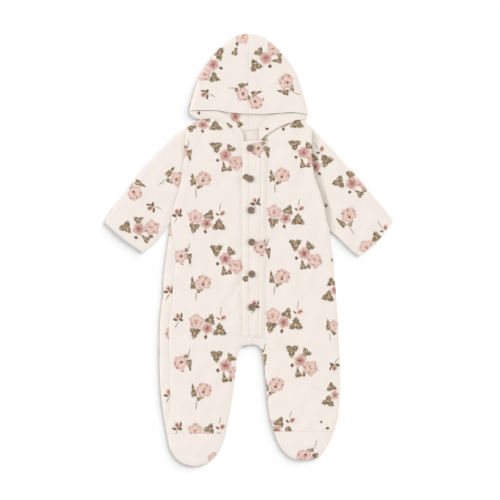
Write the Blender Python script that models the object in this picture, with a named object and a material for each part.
"""A baby's hooded fleece jumpsuit with feet, laid on its back with its front up.

Metres, +Z up. The garment lies on z = 0 with its hood towards +Y, and the wearer's
right side is towards -X. The origin is on the underside of the back. The tables below
are in millimetres, as are the functions that read them.

Every piece of cloth is a patch, or a few patches joined at their folds, laid out in
plan between the seams that a maker sews. One rule gives the height of each layer from
its distance to the outline, and each piece is a wall that goes in from that face.
"""

import math

import bpy
import numpy as np

MM = 0.001

# Cloth and layers
FLEECE = 2.2              # thickness of the printed fleece
LINING = 1.0              # thickness of the hood's inner layer
PLACKET_CLOTH = 2.0       # the two folded layers of the button placket, sewn down
SEAM_GAP = 0.3            # between the pieces at a seam, and between a piece and what lies on it
EDGE_HEIGHT = 3.0         # height of the folds and side seams, where the two layers meet
EDGE_ROUND = 10.0         # how far in from the outline the upper layer goes on rising
UNDER_ROUND = 4.0         # how far in from the outline the under layer touches the table
EDGE_INSIDE = 6.0         # from here to the outline the wall turns to stand level at the fold
LINING_HEIGHT = FLEECE + SEAM_GAP + LINING
ON_LINE = 0.05            # a point this near to the outline is on it
DRAWN = 0.75              # how far each piece is drawn back from its seam, as a share of the gap
CROWN_GAP = 0.6           # between the crown's edge and the face edge of the band
CURVE_STEP = 2.0          # between the points of a curve

# The upper layer: its height past the rounded edge, and the rise in its middle
LAYERS = {
    # name      height  rise
    "front": (6.0, 1.6),
    "band": (6.0, 0.0),
    "crown": (8.4, 0.6),
}
RISE_REACH = 40.0         # the middle's rise is complete this far from the outline
CHEST_LINE = 200.0        # the fronts lie flattest at the neck, above this
CHEST_REACH = 80.0        # and have their whole rise this far below it

CENTRE_FRONT = 4.0        # x of the front edges, under the placket
HOOD_CENTRE = -2.7        # x of the seam over the head
BACK_WRAP = 15.0          # the back comes round on to the front at the wearer's right side
WRAP_START = 60.0         # length over which that wrap grows below the arm and ends at the foot
HEEL_RISE = 36.0          # how far the sole reaches up the back of the leg

# Outlines and seams, x and y, each a row for a point that its shape needs
RIGHT = {
    "shoulder": ((-102, 198), (-88, 207), (-80, 211)),
    "sleeve_fold": ((-102, 198), (-118, 187), (-146, 160), (-170, 134.5),
                    (-194.5, 101.5), (-215.5, 74), (-230, 55), (-235.5, 45)),
    "cuff": ((-235.5, 45), (-206, 19.5), (-173, -4)),
    "armhole": ((-102, 198), (-105, 180), (-107, 162), (-107.5, 146), (-109, 130),
                (-112, 112), (-119, 84), (-126, 61), (-128, 46)),
    "underarm": ((-128, 46), (-133, 38), (-139.5, 28.5), (-148.5, 17), (-160.5, 6), (-173, -4)),
    "side": ((-128, 46), (-134, 0), (-139.6, -45), (-140.8, -77), (-143.4, -92), (-145.2, -115),
             (-146.4, -170), (-144.6, -227), (-138.5, -275), (-134.5, -297)),
    "foot": ((-134.5, -297), (-128, -324), (-116.5, -340), (-92, -349.7), (-63, -340.3),
             (-49, -324), (-38.8, -297)),
    "inside_leg": ((CENTRE_FRONT, -153), (-9, -153.8), (-15, -158), (-19, -167), (-21, -178),
                   (-25, -211), (-29, -243), (-34.5, -275), (-38.8, -297)),
    "hood_top": ((HOOD_CENTRE, 350.2), (-8, 349.8), (-17, 347.6), (-29, 342.5), (-45.5, 330.5)),
    "hood_side": ((-45.5, 330.5), (-62.3, 310.5), (-75.6, 291.5), (-84.6, 274), (-90.8, 254),
                  (-96, 236), (-98, 225)),
    "hood_corner": ((-98, 225), (-94.5, 217.5), (-87.5, 213.3), (-80, 211)),
    "forehead": ((-98, 225), (-88, 225.6), (-73, 225.8), (-55, 225.7), (-32.5, 222.3),
                 (HOOD_CENTRE, 220)),
    "face_edge": ((-98, 225), (-88, 225.5), (-73, 225.6), (-55, 225.4), (-45.5, 223), (-35.5, 218.2),
                  (-27.5, 211), (-19.5, 202), (-12.5, 193)),
    "band_end": ((-12.5, 193), (-10.5, 185), (-10.5, 176.4)),
    "neck_front": ((-80, 211), (-70, 212.6), (-55.5, 211), (-42.5, 206), (-29.5, 195),
                   (-18, 182.6), (-10.5, 176.4)),
    "neck_back": ((-80, 211), (-57, 203.5), (-32.5, 196), (-11, 192.9), (HOOD_CENTRE, 192.7)),
}
LEFT = {
    "shoulder": ((100, 197.6), (93, 204), (87, 211)),
    "sleeve_fold": ((100, 197.6), (106, 191.6), (127, 169.6), (149.4, 144.4), (173.4, 117.8),
                    (201, 85.5), (223.5, 59), (232, 46.5)),
    "cuff": ((232, 46.5), (208, 16), (176.5, -9.5)),
    "armhole": ((100, 197.6), (101, 170), (101, 147.5), (104.5, 123.5), (110.5, 107),
                (117.5, 85), (123, 66.5), (126, 45.5), (129, 31)),
    "underarm": ((129, 31), (133, 28.5), (142.5, 21), (154, 10), (165, -0.8), (176.5, -9.5)),
    "side": ((129, 31), (132.5, 0), (136.5, -40), (141.3, -97), (144, -146), (145.8, -194),
             (146, -227), (144, -261), (136.2, -293.5)),
    "foot": ((136.2, -293.5), (126.5, -315.5), (113.5, -332.8), (90, -340), (67.5, -336.3),
             (51, -320.8), (38.9, -293.5)),
    "inside_leg": ((CENTRE_FRONT, -153), (10, -153.6), (15.5, -156.5), (19.5, -163.5),
                   (21.5, -172), (25.2, -205), (28.5, -243), (33.5, -275.4), (38.9, -293.5)),
    "hood_top": ((HOOD_CENTRE, 350.2), (3, 349.8), (11, 348.4), (21, 344.7), (34, 335.5), (47.6, 322.4)),
    "hood_side": ((47.6, 322.4), (64.2, 303.9), (74.8, 286), (81.4, 269), (86.4, 253),
                  (91, 237), (94.2, 225), (93.8, 218.5)),
    "hood_corner": ((93.8, 218.5), (92.2, 214.3), (89.8, 211.9), (87, 211)),
    "forehead": ((93.8, 218.5), (81, 221), (69.5, 222.4), (50, 221.4), (24, 220),
                 (HOOD_CENTRE, 220)),
    "face_edge": ((93.8, 218.5), (81, 220.8), (69.5, 222.1), (50, 221), (37, 219), (26, 213.8),
                  (19.5, 206), (14.6, 195.5)),
    "band_end": ((14.6, 195.5), (14.2, 186), (17, 177)),
    "neck_front": ((87, 211), (76, 210.5), (68, 207.4), (49, 200), (34.5, 192),
                   (24.3, 184.7), (17, 177)),
    "neck_back": ((87, 211), (65, 204.2), (40.5, 199.4), (14.6, 195.2), (HOOD_CENTRE, 192.7)),
}
NECK_CENTRE = 175.6       # y of the top of the front edges
ARMS_END = 38.5           # y of the middle, level with the ends of the two armholes

# Places of the points across a piece, as shares of its width
SHOULDER_SHARE = 0.2      # the shoulder's share of a front's top edge
PLACKET_SHARE = 0.87      # where the hood's band ends along it
ACROSS = (0, 0.012, 0.05, 0.11, SHOULDER_SHARE, 0.31, 0.42, 0.53, 0.64, 0.75, PLACKET_SHARE,
          0.955, 0.988, 1)
NECK_KNOTS = (0, 0.14, 0.28, 0.42, 0.56, 0.7, 0.84, 1)
AROUND_ARM = (0, 0.012, 0.05, 0.11, 0.25, 0.45, 0.65, 0.85, 0.94, 0.985, 1)
ALONG_SLEEVE = (0, 0.12, 0.3, 0.5, 0.7, 0.87, 1)
HOOD_ACROSS = (0, 0.01, 0.04, 0.08, 0.14, 0.28, 0.42, 0.56, 0.7, 0.84, 1)
HOOD_DOWN = (0, 0.008, 0.03, 0.07, 0.14, 0.3, 0.5, 0.7, 0.87, 1)
BAND_DOWN = (0, 0.33, 0.67, 1)
TOE_DOWN = (0, 0.25, 0.5, 0.72, 0.87, 0.95, 0.987, 1)
WRAP_ACROSS = (0, 0.12, 0.42, 1)
TOE_TURN = 2              # rows of the foot table from its ends to where the toe's arc starts

# Rows down the body and the leg. The crotch's rows give the side's y and the share of the
# crotch's curve, from the centre front round on to the leg.
BODY_SHARES = (0.12, 0.3, 0.48, 0.66, 0.82)
PLACKET_FOOT = -142.5
LOW_BODY = (
    # y            bow, by which the row arches up beside its inner end
    (PLACKET_FOOT, 0.0),
    (-148.5, 3.5),
    (-151.7, 5.5),
)
CROTCH_ROWS = (
    # side y share  bow
    (-155.5, 0.0, 6.0),
    (-160.0, 0.4, 6.0),
    (-165.5, 0.62, 4.5),
    (-172.5, 0.8, 2.0),
    (-181.0, 1.0, 0.0),
)
BOW = (
    # share of the width, and of the bow
    (0.4, 0.0),
    (0.75, 1.0),
    (0.955, 1.0),
    (1.0, 0.0),
)
CROTCH_STOP = 4           # row of the inside leg's table where the crotch's curve ends
LEG_ROWS = (-205, -230, -255, -277)
HEEL_START = -205.0       # the back's rows start to bow towards the heel here

ARMPIT_FOLD = {           # the front stands proud of the wearer's left sleeve here
    "start": 0.38,        # share of the armhole where it starts
    "depth": 1.5,
    "width": 8.0,
}

PLACKET_LEFT = -12.0      # its free edge, on the viewer's left
PLACKET_TOP_RIGHT = 28.5  # its sewn edge at the neck
PLACKET_FOOT_RIGHT = 22.5
PLACKET_ACROSS = (0, 0.06, 0.25, 0.5, 0.75, 0.94, 1)
PLACKET_SLACK = 1.0       # the fronts' rows end within this much of the placket's foot
ROW_DROP = 0.5            # the least that each of its rows lies below the last one

BUTTONS = (
    # x      y
    (0.6, 164.6),
    (0.2, 115.0),
    (1.6, 64.2),
    (2.7, 12.6),
    (2.7, -39.0),
    (2.7, -92.5),
)
BUTTON = {
    "radius": 5.75,
    "thickness": 2.5,
    "edge": 0.6,          # the rim's rounding
    "dish_radius": 3.9,
    "dish_depth": 0.6,
    "hole_radius": 0.8,
    "hole_spacing": 2.4,
    "hole_reach": 1.0,    # how far the holes' cutters stand out of it
    "lift": 0.5,          # above the placket, where the thread shank holds it
    "rests_over": 3,      # rows of the placket that lie under it
    "steps": 24,
    "hole_steps": 8,
}

LINING_INSET = 32.0       # from the hood's outline to the edge of its lining
LINING_HEIGHTS = (300, 270, 240)
LINING_FOOT = 3           # its outer edge ends above this point of the neck seam
LINING_GAP = 1.2          # between its foot and the neck seam

SHARP_ANGLE = 50.0        # edges that turn by more than this stay crisp
FLEECE_FINISH = {"colour": (0.90, 0.84, 0.78), "roughness": 0.95}
LINING_FINISH = {"colour": (0.92, 0.87, 0.82), "roughness": 0.95}
BUTTON_FINISH = {"colour": (0.23, 0.18, 0.14), "roughness": 0.45}


def smooth(share):
    """0 to 1 with no corner at either end."""
    share = np.clip(share, 0.0, 1.0)
    return share * share * (3.0 - 2.0 * share)


# ---- Curves in plan ----

def curve(points):
    """A smooth line through the points, with points of its own set closely along it."""
    points = np.array(points, float)
    spans = np.linalg.norm(np.diff(points, axis=0), axis=1)
    slopes = np.diff(points, axis=0) / spans[:, None]
    middle = (slopes[:-1] * spans[1:, None] + slopes[1:] * spans[:-1, None]) / (
        spans[:-1] + spans[1:])[:, None]
    tangents = np.vstack([slopes[:1], middle, slopes[-1:]])
    line = [points[:1]]
    for i, span in enumerate(spans):
        count = max(2, math.ceil(span / CURVE_STEP))
        t = (np.arange(count) + 1)[:, None] / count
        line.append(
            points[i] * (1 + 2 * t) * (1 - t) ** 2
            + tangents[i] * span * t * (1 - t) ** 2
            + points[i + 1] * t * t * (3 - 2 * t)
            - tangents[i + 1] * span * t * t * (1 - t))
    return np.vstack(line)


def lengths(line):
    """Distance along the line to each of its points, as a share of the whole."""
    run = np.concatenate([[0.0], np.cumsum(np.linalg.norm(np.diff(line, axis=0), axis=1))])
    return run / run[-1]


def along(line, shares):
    """The points at these shares of the line's length."""
    run = lengths(line)
    return np.column_stack([np.interp(shares, run, line[:, k]) for k in range(line.shape[1])])


def at_heights(line, heights):
    """The points of a falling line at these values of y."""
    x = np.interp(-np.array(heights, float), -line[:, 1], line[:, 0])
    return np.column_stack([x, heights])


def straight(start, end, shares):
    shares = np.array(shares, float)[:, None]
    return np.array(start, float) * (1 - shares) + np.array(end, float) * shares


def joined(*lines):
    """Lines one after the other, each starting where the last one ends."""
    return np.vstack([lines[0]] + [line[1:] for line in lines[1:]])


def at_point(line, point):
    """The number of the line's point that is nearest to this one."""
    return int(np.argmin(np.linalg.norm(line - np.array(point, float), axis=1)))


def parted(first, second, third):
    """Three runs of points as three lines that pass smoothly into each other."""
    line = curve(joined(*(np.array(part, float) for part in (first, second, third))))
    start, end = at_point(line, second[0]), at_point(line, second[-1])
    return line[:start + 1], line[start:end + 1], line[end:]


def leg_lines(side):
    """The leg's outline: its side, the foot, and the inside of the leg from the crotch down."""
    outer, foot_line, inner = parted(side["side"], side["foot"], side["inside_leg"][::-1])
    return outer, foot_line, inner[::-1]


def hood_line(side):
    """The hood's outline from the top of the head to the neck, and where it is parted."""
    return parted(side["hood_top"], side["hood_side"], side["hood_corner"])


def sleeve_outline(side):
    """The fold along the shoulder and the sleeve, and the fold under the arm."""
    top = joined(curve(side["shoulder"])[::-1], curve(side["sleeve_fold"]))
    under = curve(side["underarm"])[::-1]
    return [top, under] if side is RIGHT else [top[::-1], under[::-1]]


def body_outline():
    """The outline of the body and the legs, anticlockwise, with the shoulders' folds."""
    right_side, right_foot, right_inside = leg_lines(RIGHT)
    left_side, left_foot, left_inside = leg_lines(LEFT)
    right_leg = joined(right_side, right_foot, right_inside[::-1])
    left_leg = joined(left_inside, left_foot[::-1], left_side[::-1])
    return [sleeve_outline(RIGHT)[0], joined(right_leg, left_leg), sleeve_outline(LEFT)[0]]


def hood_outline():
    right = joined(*hood_line(RIGHT))
    left = joined(*hood_line(LEFT))
    return [joined(left[::-1], right)]


def nearest(lines, points):
    """Distance from each point to the lines, and the way out of the cloth there."""
    start = np.vstack([line[:-1] for line in lines])
    step = np.vstack([np.diff(line, axis=0) for line in lines])
    reach = points[:, None, :] - start
    share = np.clip((reach * step).sum(-1) / (step ** 2).sum(-1), 0, 1)
    away = start + share[..., None] * step - points[:, None, :]
    distance = np.linalg.norm(away, axis=-1)
    best = distance.argmin(axis=1)
    rows = np.arange(len(points))
    away, distance = away[rows, best], distance[rows, best]
    across = np.column_stack([step[best, 1], -step[best, 0]])
    across /= np.linalg.norm(across, axis=1)[:, None]
    on_line = (distance < ON_LINE) | ((distance < SEAM_GAP) & ((away * across).sum(1) < 0))
    out = np.where(on_line[:, None], across, away / np.where(on_line, 1.0, distance)[:, None])
    return np.where(on_line, 0.0, distance), out


BODY_LINES = body_outline()
HOOD_LINES = hood_outline()
SLEEVE_LINES = {"right": sleeve_outline(RIGHT), "left": sleeve_outline(LEFT)}


# ---- Layers ----

def lay(plan, layer, lines, edge=EDGE_HEIGHT, dip=None):
    """The face and the inner side of a patch in plan, laid as an upper layer or the under one.

    `edge` is its height at the outline, where the layer meets the other one. The inner
    sides stop short of that height, so that the two layers never reach each other.
    """
    flat = plan.reshape(-1, 2)
    distance, out = nearest(lines, flat)
    inward = FLEECE * np.clip(1 - distance / EDGE_INSIDE, 0, 1) ** 2
    straight_in = np.sqrt(FLEECE ** 2 - inward ** 2)
    off_edge = distance > 0
    if layer == "under":
        left = 1.0 - np.clip(distance / UNDER_ROUND, 0, 1)
        height = edge * (1.0 - np.sqrt(1.0 - left ** 2))
        inner = height + straight_in
        inner[off_edge] = np.minimum(inner, EDGE_HEIGHT - SEAM_GAP / 2)[off_edge]
    else:
        left = 1.0 - np.clip(distance / EDGE_ROUND, 0, 1)
        level, rise = LAYERS[layer]
        chest = smooth((CHEST_LINE - flat[:, 1]) / CHEST_REACH) if layer == "front" else 1.0
        top = level + rise * smooth(distance / RISE_REACH) * chest
        height = edge + (top - edge) * np.sqrt(1.0 - left ** 2)
        if dip is not None:
            height = height - dip(flat) * np.sqrt(1.0 - left ** 2)
        inner = height - straight_in
        inner[off_edge] = np.maximum(inner, EDGE_HEIGHT + SEAM_GAP / 2)[off_edge]
    face = np.column_stack([flat, height])
    inner = np.column_stack([flat - out * inward[:, None], inner])
    return face.reshape(*plan.shape[:2], 3), inner.reshape(*plan.shape[:2], 3)


def sheet(plan, height, thickness):
    """The face and the underside of a patch in plan that lies level, or at given heights."""
    face = np.dstack([plan, np.broadcast_to(height, plan.shape[:2])])
    return face, face - (0, 0, thickness)


def spread(left, right, top, bottom, across, down):
    """A patch in plan between four edges, rows from top to bottom."""
    u = np.array(across, float)[None, :, None]
    v = np.array(down, float)[:, None, None]
    rows = (1 - v) * top[None] + v * bottom[None]
    columns = (1 - u) * left[:, None] + u * right[:, None]
    corners = ((1 - v) * ((1 - u) * top[0] + u * top[-1])
               + v * ((1 - u) * bottom[0] + u * bottom[-1]))
    return rows + columns - corners


def rule(left, right, across):
    """A patch in plan of straight rows between two edges."""
    u = np.array(across, float)[None, :, None]
    return (1 - u) * left[:, None] + u * right[:, None]


def drawn_in(plan, side, first=0, last=None, gap=SEAM_GAP):
    """The patch with one edge moved back from the seam towards the next row or column."""
    plan = plan.copy()
    turned = np.swapaxes(plan, 0, 1) if side in ("left", "right") else plan
    edge, inner = (0, 1) if side in ("top", "left") else (-1, -2)
    step = turned[inner] - turned[edge]
    step /= np.linalg.norm(step, axis=1)[:, None]
    chosen = slice(first, last)
    turned[edge, chosen] += step[chosen] * gap * DRAWN
    return plan


# ---- From patches to solids ----

def wall(name, patches, finish):
    """A closed wall between the faces and the inner sides of its patches, joined where they meet."""
    keys, outer, inner, faces = {}, [], [], []
    for face, back_face in patches:
        rows, columns = face.shape[:2]
        index = np.empty((rows, columns), int)
        for i in range(rows):
            for j in range(columns):
                key = tuple(np.round(face[i, j], 3))
                if key not in keys:
                    keys[key] = len(outer)
                    outer.append(face[i, j])
                    inner.append(back_face[i, j])
                index[i, j] = keys[key]
        across = face[:-1, 1:] - face[:-1, :-1]
        down = face[1:, :-1] - face[:-1, :-1]
        upright = (np.cross(down, across) * (face - back_face)[:-1, :-1]).sum() > 0
        for i in range(rows - 1):
            for j in range(columns - 1):
                loop = [index[i, j], index[i + 1, j], index[i + 1, j + 1], index[i, j + 1]]
                loop = list(dict.fromkeys(loop if upright else loop[::-1]))
                if len(loop) > 2:
                    faces.append(loop)
    count = len(outer)
    edges = {(a, b) for face in faces for a, b in zip(face, face[1:] + face[:1])}
    rims = [rim(a, b, count, outer) for a, b in edges if (b, a) not in edges]
    lining = [tuple(count + k for k in face[::-1]) for face in faces]
    rims = sorted(part for pair in rims for part in pair)
    return solid(name, np.vstack([outer, inner]), faces + lining + rims, finish)


def rim(a, b, count, outer):
    """Two triangles over the wall's edge, split the same way on both sides of a seam."""
    if tuple(outer[a]) < tuple(outer[b]):
        return (b, a, a + count), (b, a + count, b + count)
    return (b, a, b + count), (a, a + count, b + count)


def solid(name, corners, faces, finish):
    mesh = bpy.data.meshes.new(name)
    mesh.from_pydata((np.array(corners) * MM).tolist(), [], [tuple(map(int, face)) for face in faces])
    mesh.materials.append(material(name, finish))
    mesh.shade_smooth()
    mesh.set_sharp_from_angle(angle=math.radians(SHARP_ANGLE))
    piece = bpy.data.objects.new(name, mesh)
    bpy.context.scene.collection.objects.link(piece)
    return piece


def material(name, finish):
    made = bpy.data.materials.new(name)
    made.use_nodes = True
    shader = made.node_tree.nodes["Principled BSDF"]
    shader.inputs["Base Color"].default_value = (*finish["colour"], 1.0)
    shader.inputs["Roughness"].default_value = finish["roughness"]
    shader.inputs["Metallic"].default_value = 0.0
    return made


# ---- Seams that two pieces share ----

def neck_line(side, name):
    """A neck seam from the shoulder inwards, its corners shared by both of its pieces."""
    return along(curve(side[name]), NECK_KNOTS)


def on_neck(side, name, shares):
    """Points on the neck seam at these shares, counted from knot to knot."""
    knots = neck_line(side, name)
    return np.column_stack([np.interp(shares, NECK_KNOTS, knots[:, k]) for k in range(2)])


def front_top(side):
    """The top edge of a front: the shoulder, the neck seam and the end under the placket."""
    across = np.array(ACROSS, float)
    shoulder = across[across <= SHOULDER_SHARE] / SHOULDER_SHARE
    neck = across[(across > SHOULDER_SHARE) & (across <= PLACKET_SHARE)]
    neck = np.interp(neck, np.linspace(SHOULDER_SHARE, PLACKET_SHARE, len(NECK_KNOTS)), NECK_KNOTS)
    end = (across[across > PLACKET_SHARE] - PLACKET_SHARE) / (1 - PLACKET_SHARE)
    return np.vstack([
        along(curve(side["shoulder"]), shoulder),
        on_neck(side, "neck_front", neck),
        straight(side["neck_front"][-1], (CENTRE_FRONT, NECK_CENTRE), end)])


def back_top(side):
    across = np.array(ACROSS, float)
    shoulder = across[across <= SHOULDER_SHARE] / SHOULDER_SHARE
    neck = (across[across > SHOULDER_SHARE] - SHOULDER_SHARE) / (1 - SHOULDER_SHARE)
    return np.vstack([
        along(curve(side["shoulder"]), shoulder),
        on_neck(side, "neck_back", neck)])


def armhole(side):
    """The seam of the sleeve, its corners shared by the front, the back and the sleeve."""
    return along(curve(side["armhole"]), AROUND_ARM)


def centre_of_back(heights):
    """The back's middle leans from the hood's seam at the neck to the crotch."""
    top, low = RIGHT["neck_back"][-1][1], RIGHT["inside_leg"][0][1]
    heights = np.array(heights, float)
    x = np.interp(-heights, (-top, -low), (HOOD_CENTRE, CENTRE_FRONT))
    return np.column_stack([x, heights])


def body_rows(side, start=None):
    """The y of the side's rows below the arm, down to the foot's seam."""
    start = side["armhole"][-1][1] if start is None else start
    body = [start + (PLACKET_FOOT - start) * share for share in BODY_SHARES]
    low = [row[0] for row in LOW_BODY + CROTCH_ROWS]
    return [start, *body, *low, *LEG_ROWS, side["side"][-1][1]]


def inner_edge(side, centre):
    """The inner end of each of those rows: the centre, the crotch's curve, then the leg."""
    rows = body_rows(side, ARMS_END)
    upper = 1 + len(BODY_SHARES) + len(LOW_BODY)
    line = leg_lines(side)[2]
    cut = at_point(line, side["inside_leg"][CROTCH_STOP])
    crotch = along(line[:cut + 1], [row[1] for row in CROTCH_ROWS])
    leg = at_heights(line[cut:], rows[upper + len(CROTCH_ROWS):])
    return np.vstack([centre(rows[:upper]), crotch, leg])


def across_leg(outer, inner):
    """The rows between the side and the inner edge, arched up beside the crotch."""
    plan = rule(outer, inner, ACROSS)
    bows = [row[-1] for row in LOW_BODY + CROTCH_ROWS]
    first = 1 + len(BODY_SHARES)
    share = np.interp(ACROSS, *np.array(BOW).T)
    plan[first:first + len(bows), :, 1] += np.outer(bows, share)
    return plan


def front_centre(heights):
    return np.column_stack([np.full(len(heights), CENTRE_FRONT), heights])


def wrap_width(side, rows):
    """How far the back comes round on to the front at each row: on the right side only."""
    if side is LEFT:
        return np.zeros(len(rows))
    below_arm = rows[0] - np.array(rows)
    above_foot = np.array(rows) - rows[-1]
    return BACK_WRAP * smooth(below_arm / WRAP_START) * smooth(above_foot / WRAP_START)


def side_seam(side, rows):
    edge = at_heights(leg_lines(side)[0], rows)
    inward = np.sign(-edge[:, 0])
    seam = edge.copy()
    seam[:, 0] += inward * wrap_width(side, rows)
    return edge, seam


# ---- Pieces ----

def front_plan(side):
    """The two patches of a front in plan: above the arm's end, and below it."""
    rows = body_rows(side)
    edge, seam = side_seam(side, rows)
    inner = inner_edge(side, front_centre)
    top = front_top(side)
    bottom = straight(seam[0], inner[0], ACROSS)
    middle = straight(top[-1], inner[0], AROUND_ARM)
    upper = spread(armhole(side), middle, top, bottom, ACROSS, AROUND_ARM)
    return upper, across_leg(seam, inner)


def front(name, side):
    upper, lower = front_plan(side)
    centre_rows = 1 + len(BODY_SHARES) + len(LOW_BODY)
    neck = ACROSS.index(SHOULDER_SHARE)
    upper = drawn_in(drawn_in(drawn_in(upper, "left"), "top", neck), "right")
    lower = drawn_in(drawn_in(lower, "right", 0, centre_rows + 1), "bottom", 0)
    if side is RIGHT:
        lower = drawn_in(lower, "left", 1)
    lower[0] = upper[-1]
    edge = EDGE_HEIGHT + SEAM_GAP / 2
    patches = [lay(upper, "front", BODY_LINES, edge), lay(lower, "front", BODY_LINES, edge)]
    wall(name, patches, FLEECE_FINISH)
    return [patch[0] for patch in patches]


def bowed(plan, rows):
    """The back's rows, bowed up towards the heel's seam as they near the foot."""
    share = np.clip((HEEL_START - np.array(rows)) / (HEEL_START - rows[-1]), 0, 1)
    plan = plan.copy()
    plan[:, :, 1] += share[:, None] * heel_curve()[None, :]
    return plan


def heel_curve():
    return HEEL_RISE * np.sin(math.pi * np.array(ACROSS)) ** 2


def back():
    patches = []
    edge = EDGE_HEIGHT - SEAM_GAP / 2
    neck = ACROSS.index(SHOULDER_SHARE)
    for side in (RIGHT, LEFT):
        rows = body_rows(side)
        outline, seam = side_seam(side, rows)
        inner = inner_edge(side, centre_of_back)
        top = back_top(side)
        middle = straight(top[-1], inner[0], AROUND_ARM)
        bottom = straight(outline[0], inner[0], ACROSS)
        upper = spread(armhole(side), middle, top, bottom, ACROSS, AROUND_ARM)
        upper = drawn_in(drawn_in(upper, "left"), "top", neck)
        lower = drawn_in(bowed(across_leg(outline, inner), rows), "bottom")
        lower[0] = upper[-1]
        patches += [lay(upper, "under", BODY_LINES, edge), lay(lower, "under", BODY_LINES, edge)]
        if side is RIGHT:
            wrapped = drawn_in(rule(outline, seam, WRAP_ACROSS)[1:-1], "right")
            patches.append(lay(wrapped, "front", BODY_LINES, edge))
    wall("back", patches, FLEECE_FINISH)


def armpit_dip(plan):
    line = curve(LEFT["armhole"])
    fold = line[lengths(line) > ARMPIT_FOLD["start"]]
    distance, _ = nearest([fold], plan)
    return ARMPIT_FOLD["depth"] * np.exp(-(distance / ARMPIT_FOLD["width"]) ** 2)


def sleeve(word, side):
    """A flat tube, folded along its outer edge and under the arm, and open at the cuff."""
    plan = spread(along(curve(side["sleeve_fold"]), ALONG_SLEEVE),
                  along(curve(side["underarm"]), ALONG_SLEEVE),
                  armhole(side), along(curve(side["cuff"]), AROUND_ARM), AROUND_ARM, ALONG_SLEEVE)
    plan = drawn_in(plan, "top")
    lines = SLEEVE_LINES[word]
    dip = armpit_dip if side is LEFT else None
    patches = [lay(plan, "front", lines, dip=dip), lay(plan, "under", lines)]
    wall(f"sleeve_{word}", patches, FLEECE_FINISH)


def foot(name, side, layer):
    """The upper of a foot, or its sole, between the leg and the outline of the toe."""
    line = leg_lines(side)[1]
    cuts = [at_point(line, side["foot"][k]) for k in (TOE_TURN, -1 - TOE_TURN)]
    top = straight(line[0], line[-1], ACROSS)
    if layer == "under":
        top[:, 1] += heel_curve()
    plan = spread(along(line[:cuts[0] + 1], TOE_DOWN), along(line[cuts[1]:][::-1], TOE_DOWN),
                  top, along(line[cuts[0]:cuts[1] + 1], ACROSS), ACROSS, TOE_DOWN)
    plan = drawn_in(plan, "top")
    edge = EDGE_HEIGHT + SEAM_GAP / 2 * (-1 if layer == "under" else 1)
    wall(name, [lay(plan, layer, BODY_LINES, edge)], FLEECE_FINISH)


def hood(name, side):
    """Half of the hood, folded along its outline: the crown above, the back of the head below."""
    top_line, side_line, corner_line = hood_line(side)
    top, outer = along(top_line[::-1], HOOD_ACROSS), along(side_line, HOOD_DOWN)
    corner = along(corner_line, BAND_DOWN)
    brow = along(curve(side["forehead"]), HOOD_ACROSS)
    crown = spread(outer, straight(top[-1], brow[-1], HOOD_DOWN), top, brow, HOOD_ACROSS, HOOD_DOWN)
    crown = drawn_in(drawn_in(crown, "right"), "bottom", 1, gap=CROWN_GAP)

    level = straight(outer[-1], (HOOD_CENTRE, side["forehead"][-1][1]), HOOD_ACROSS)
    under = spread(outer, straight(top[-1], level[-1], HOOD_DOWN), top, level, HOOD_ACROSS, HOOD_DOWN)
    nape = on_neck(side, "neck_back", HOOD_ACROSS)
    lower = spread(corner, straight(level[-1], nape[-1], BAND_DOWN), level, nape,
                   HOOD_ACROSS, BAND_DOWN)
    under, lower = drawn_in(under, "right"), drawn_in(drawn_in(lower, "right"), "bottom")
    lower[0] = under[-1]

    face = along(curve(side["face_edge"]), HOOD_ACROSS)
    end = along(curve(side["band_end"]), BAND_DOWN)
    band = spread(corner, end, face, on_neck(side, "neck_front", HOOD_ACROSS),
                  HOOD_ACROSS, BAND_DOWN)
    band = drawn_in(drawn_in(drawn_in(band, "bottom"), "top", 1, gap=CROWN_GAP), "right")
    band[-1, 0] = lower[-1, 0]
    patches = [lay(crown, "crown", HOOD_LINES), lay(under, "under", HOOD_LINES),
               lay(lower, "under", HOOD_LINES), lay(band, "band", HOOD_LINES)]
    wall(name, patches, FLEECE_FINISH)


def hood_lining(name, side):
    """The printed inside of the hood, on the back of the head, as far as it can be seen."""
    nape = on_neck(side, "neck_back", HOOD_ACROSS)
    inward = 1 if side is RIGHT else -1
    outline = joined(*hood_line(side)[1:])
    heights = np.array((*LINING_HEIGHTS, nape[LINING_FOOT][1] + LINING_INSET))
    outer = at_heights(outline[outline[:, 1].argsort()[::-1]], heights)
    outer[:, 0] += inward * LINING_INSET
    inner = np.column_stack([np.full(len(heights), HOOD_CENTRE), heights])
    inner[-1, 1] = nape[-1][1]
    plan = rule(outer, inner, NECK_KNOTS)
    seam = neck_line(side, "neck_back")
    plan[-1, :, 1] = np.interp(inward * plan[-1, :, 0], inward * seam[:, 0], seam[:, 1])
    plan = drawn_in(drawn_in(plan, "right"), "bottom", gap=LINING_GAP)
    wall(name, [sheet(plan, LINING_HEIGHT, LINING)], LINING_FINISH)


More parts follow.
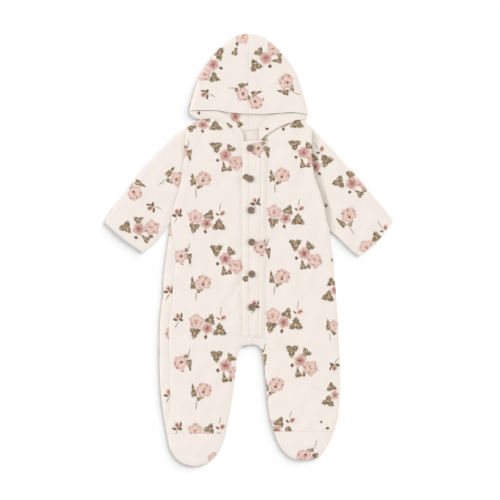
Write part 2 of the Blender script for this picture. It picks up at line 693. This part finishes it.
def placket(fronts):
    """The button placket, made from the points of both fronts and moved up off them."""
    rows = []
    for right_patch, left_patch in zip(*fronts):
        for right_row, left_row in zip(right_patch, left_patch):
            rows.append(np.vstack([right_row, left_row[::-1]]))
    rows = np.array([row for row in rows if row[len(ACROSS) - 1, 1] >= PLACKET_FOOT - PLACKET_SLACK])
    top, low = rows[0, len(ACROSS), 1], rows[-1, len(ACROSS), 1]
    places = []
    for row in rows:
        share = (top - row[len(ACROSS), 1]) / (top - low)
        right = PLACKET_TOP_RIGHT + (PLACKET_FOOT_RIGHT - PLACKET_TOP_RIGHT) * share
        x = PLACKET_LEFT + (right - PLACKET_LEFT) * np.array(PLACKET_ACROSS)
        y = np.interp(x, row[:, 0], row[:, 1])
        z = np.interp(x, row[:, 0], row[:, 2])
        places.append(np.column_stack([x, y, z]))
    places = np.array(places)
    keep = np.concatenate([[True], np.diff(places[:, 0, 1]) < -ROW_DROP])
    places = places[keep]
    places[..., 2] += SEAM_GAP + PLACKET_CLOTH
    wall("placket", [sheet(places[..., :2], places[..., 2], PLACKET_CLOTH)], FLEECE_FINISH)
    return places


def button_profile():
    """Radius and height of the button's upper side, from the dish to the rim and down."""
    edge = BUTTON["edge"]
    radius, thickness = BUTTON["radius"], BUTTON["thickness"]
    dish = thickness - BUTTON["dish_depth"]
    return ((BUTTON["dish_radius"] - edge, dish), (BUTTON["dish_radius"], thickness),
            (radius - edge, thickness), (radius, thickness - edge), (radius, edge),
            (radius - edge, 0.0))


def ring(radius, height, steps, centre=(0.0, 0.0)):
    turns = np.arange(steps) * 2 * math.pi / steps
    return np.column_stack([centre[0] + radius * np.cos(turns), centre[1] + radius * np.sin(turns),
                            np.full(steps, height)])


def button_body(name):
    steps = BUTTON["steps"]
    rings = np.array([ring(radius, height, steps) for radius, height in button_profile()])
    faces = []
    for i in range(len(rings) - 1):
        for j in range(steps):
            k = (j + 1) % steps
            faces.append((i * steps + j, (i + 1) * steps + j, (i + 1) * steps + k, i * steps + k))
    faces.append(tuple(range(steps)))
    last = (len(rings) - 1) * steps
    faces.append(tuple(range(last + steps - 1, last - 1, -1)))
    return solid(name, rings.reshape(-1, 3), faces, BUTTON_FINISH)


def hole_cutter(place):
    steps, reach = BUTTON["hole_steps"], BUTTON["hole_reach"]
    low = ring(BUTTON["hole_radius"], -reach, steps, place)
    high = ring(BUTTON["hole_radius"], BUTTON["thickness"] + reach, steps, place)
    faces = [(j, (j + 1) % steps, steps + (j + 1) % steps, steps + j) for j in range(steps)]
    faces += [tuple(range(steps - 1, -1, -1)), tuple(range(steps, 2 * steps))]
    cutter = solid("hole_cutter", np.vstack([low, high]), faces, BUTTON_FINISH)
    cutter.hide_render = True
    cutter.display_type = "WIRE"
    return cutter


def buttons(strip):
    """Four-holed buttons, standing just clear of the placket that they fasten."""
    half = BUTTON["hole_spacing"] / 2
    cutters = [hole_cutter((x, y)) for x in (-half, half) for y in (-half, half)]
    for number, (x, y) in enumerate(BUTTONS, start=1):
        made = button_body(f"button_{number}")
        near = strip[np.abs(strip[:, 0, 1] - y).argsort()[:BUTTON["rests_over"]]]
        height = near[..., 2].max() + BUTTON["lift"]
        made.location = (x * MM, y * MM, height * MM)
        for cutter in cutters:
            copy = cutter.copy()
            bpy.context.scene.collection.objects.link(copy)
            copy.location = made.location
            cut = made.modifiers.new("Hole", "BOOLEAN")
            cut.operation = "DIFFERENCE"
            cut.object = copy
    for cutter in cutters:
        bpy.data.objects.remove(cutter)


def main():
    for old in list(bpy.data.objects):
        bpy.data.objects.remove(old)
    back()
    fronts = [front("front_right", RIGHT), front("front_left", LEFT)]
    for word, side in (("right", RIGHT), ("left", LEFT)):
        sleeve(word, side)
        foot(f"foot_{word}", side, "front")
        foot(f"sole_{word}", side, "under")
        hood(f"hood_{word}", side)
        hood_lining(f"hood_lining_{word}", side)
    buttons(placket(fronts))


main()
